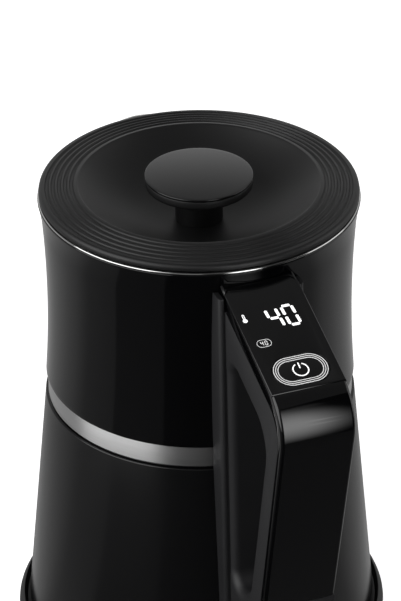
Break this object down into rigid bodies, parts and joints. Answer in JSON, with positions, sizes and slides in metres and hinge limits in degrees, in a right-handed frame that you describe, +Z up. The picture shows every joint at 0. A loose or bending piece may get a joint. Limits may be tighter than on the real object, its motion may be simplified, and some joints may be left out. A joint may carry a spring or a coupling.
{
  "type": "electric kettle",
  "caption": "Cordless electric kettle with a ringed lift-off lid, gloss collar, steel band, short pouring lip and a loop handle with a display and key, on a round power base.",
  "frame": {"origin": "on the kettle's axis, at the surface that the power base stands on", "axes": "+Z up along the kettle's axis, +X towards the handle, -X towards the spout"},
  "size_m": [0.2066, 0.1582, 0.2253],
  "materials": {
    "satin_black": "satin moulded black plastic",
    "gloss_black": "gloss moulded black plastic",
    "matt_grey": "matt dark grey plastic with a fine grain",
    "panel_black": "smooth black panel with white marks",
    "brushed_steel": "brushed stainless steel",
    "polished_steel": "polished stainless steel",
    "aluminium": "cast aluminium",
    "brass": "plain brass contacts",
    "silicone": "translucent grey silicone",
    "rubber": "black rubber",
    "board_green": "green circuit board",
    "display_dark": "display block with white segments",
    "zinc_steel": "zinc-plated steel",
    "inner_white": "heat-proof white plastic"
  },
  "bodies": {
    "power_base": {"base_cover": "satin_black", "base_plate": "satin_black", "base_foot": "rubber", "base_connector": "inner_white", "base_contacts": "brass", "base_screws": "zinc_steel", "cord_gland": "rubber"},
    "kettle_socket": {"connector_socket": "inner_white", "socket_contacts": "brass"},
    "kettle": {"bottom_cover": "satin_black", "bottom_screws": "zinc_steel", "lower_shell": "satin_black", "steel_band": "brushed_steel", "upper_collar": "gloss_black", "rim_ring": "polished_steel", "inner_pot": "brushed_steel", "heater_plate": "aluminium", "heating_element": "aluminium", "thermal_cutouts": "inner_white", "temperature_probe": "polished_steel", "probe_seal": "silicone", "spout_lip": "polished_steel", "spout_strainer": "brushed_steel", "handle_inner": "matt_grey", "handle_cover": "gloss_black", "control_panel": "panel_black", "display_module": "display_dark", "control_board": "board_green", "key_switch": "inner_white", "handle_screws": "zinc_steel"},
    "power_key": {"power_key": "panel_black"},
    "lid": {"lid_top": "satin_black", "lid_liner": "brushed_steel", "lid_seal": "silicone", "lid_knob": "satin_black", "knob_cap": "satin_black", "knob_screw": "zinc_steel"}
  },
  "joints": [
    {"name": "kettle_lift", "type": "slide", "parent": "power_base", "child": "kettle_socket", "axis": [0, 0, 1], "range_m": [0, 0.08]},
    {"name": "kettle_turn", "type": "hinge", "parent": "kettle_socket", "child": "kettle", "pos_m": [0, 0, 0.022], "axis": [0, 0, 1], "continuous": true},
    {"name": "lid_lift", "type": "slide", "parent": "kettle", "child": "lid", "axis": [0, 0, 1], "range_m": [0, 0.12]},
    {"name": "key_press", "type": "slide", "parent": "kettle", "child": "power_key", "axis": [-0.3256, 0, -0.9455], "range_m": [0, 0.0006], "stiffness_N_per_m": 1500}
  ]
}
